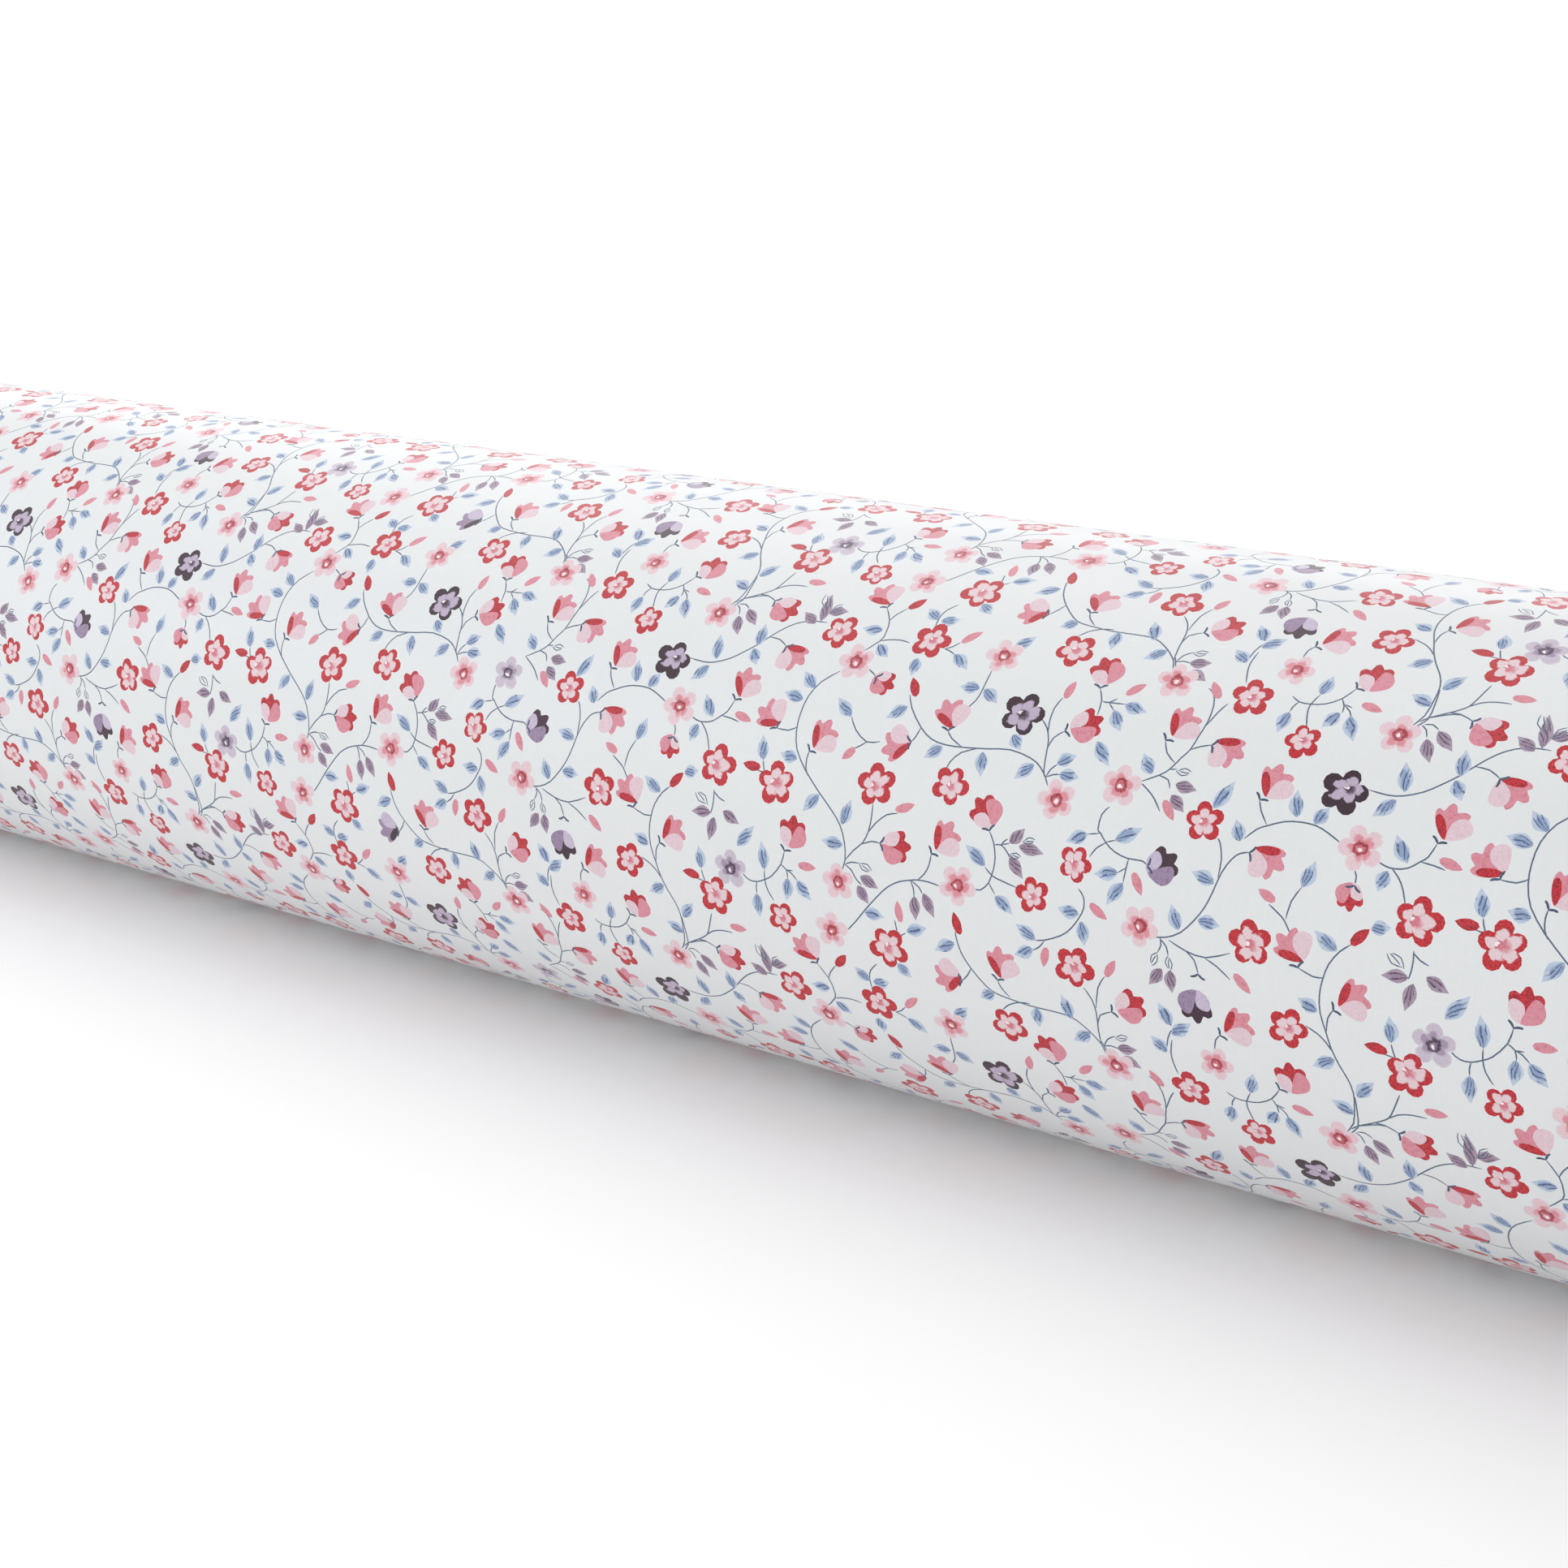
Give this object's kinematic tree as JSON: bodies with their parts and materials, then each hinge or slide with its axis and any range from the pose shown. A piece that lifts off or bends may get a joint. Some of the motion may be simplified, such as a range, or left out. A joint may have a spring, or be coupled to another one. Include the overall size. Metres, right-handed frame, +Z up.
{
  "type": "oilcloth roll",
  "caption": "Long bare roll of printed oilcloth, wound on itself with no core, lying on a small flat spot.",
  "frame": {"origin": "centre of the box's bottom, on the small flat spot that the roll lies on", "axes": "+X along the roll, from one cut edge of the cloth to the other, -Y towards its front, +Z up"},
  "size_m": [1.4, 0.1304, 0.13],
  "materials": {
    "oilcloth": "satin"
  },
  "bodies": {
    "root": {"oilcloth_roll": "oilcloth"}
  },
  "joints": []
}
